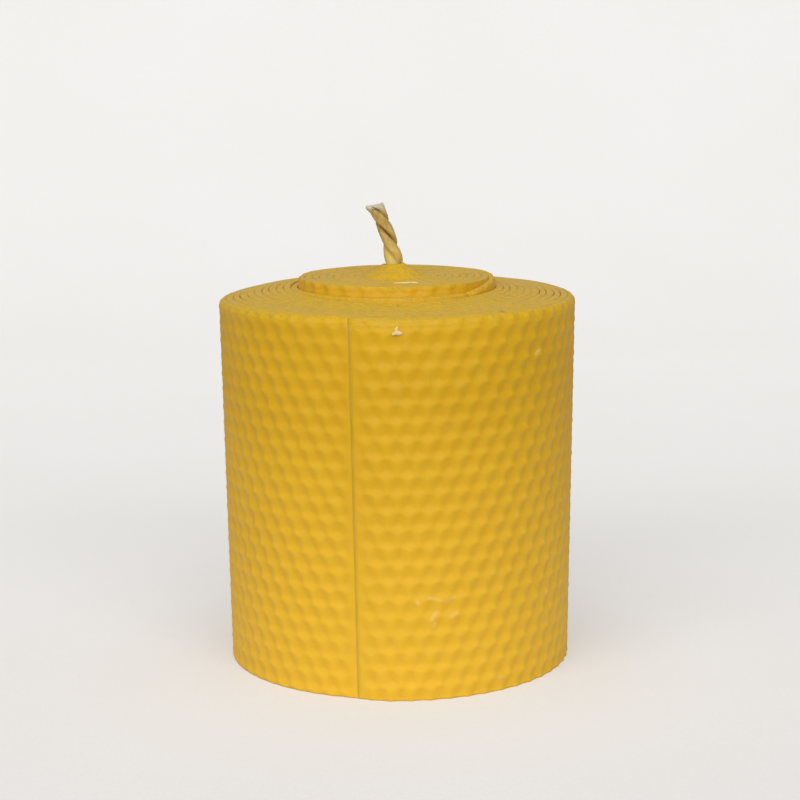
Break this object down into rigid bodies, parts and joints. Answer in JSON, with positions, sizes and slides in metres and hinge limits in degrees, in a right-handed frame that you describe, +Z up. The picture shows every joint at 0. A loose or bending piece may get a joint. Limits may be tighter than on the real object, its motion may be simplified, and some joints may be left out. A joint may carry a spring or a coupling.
{
  "type": "beeswax pillar candle",
  "caption": "Free-standing pillar candle rolled from honeycomb-embossed beeswax strips round a twisted cotton wick, with a taller core.",
  "frame": {"origin": "centre of the candle's base, on the surface that it stands on", "axes": "+Z up along the candle, -Y towards the pictured front, +X to the right of it"},
  "size_m": [0.0946, 0.0956, 0.1248],
  "materials": {
    "beeswax": "satin golden beeswax with paler rubbed cell walls",
    "wick": "wax-soaked natural cotton"
  },
  "bodies": {
    "root": {"wick_ply_1": "wick", "wick_ply_2": "wick", "core_strip_1": "beeswax", "core_strip_2": "beeswax", "core_strip_3": "beeswax", "outer_strip_1": "beeswax", "outer_strip_2": "beeswax", "outer_strip_3": "beeswax", "outer_strip_4": "beeswax", "outer_strip_5": "beeswax", "outer_strip_6": "beeswax", "outer_strip_7": "beeswax"}
  },
  "joints": []
}
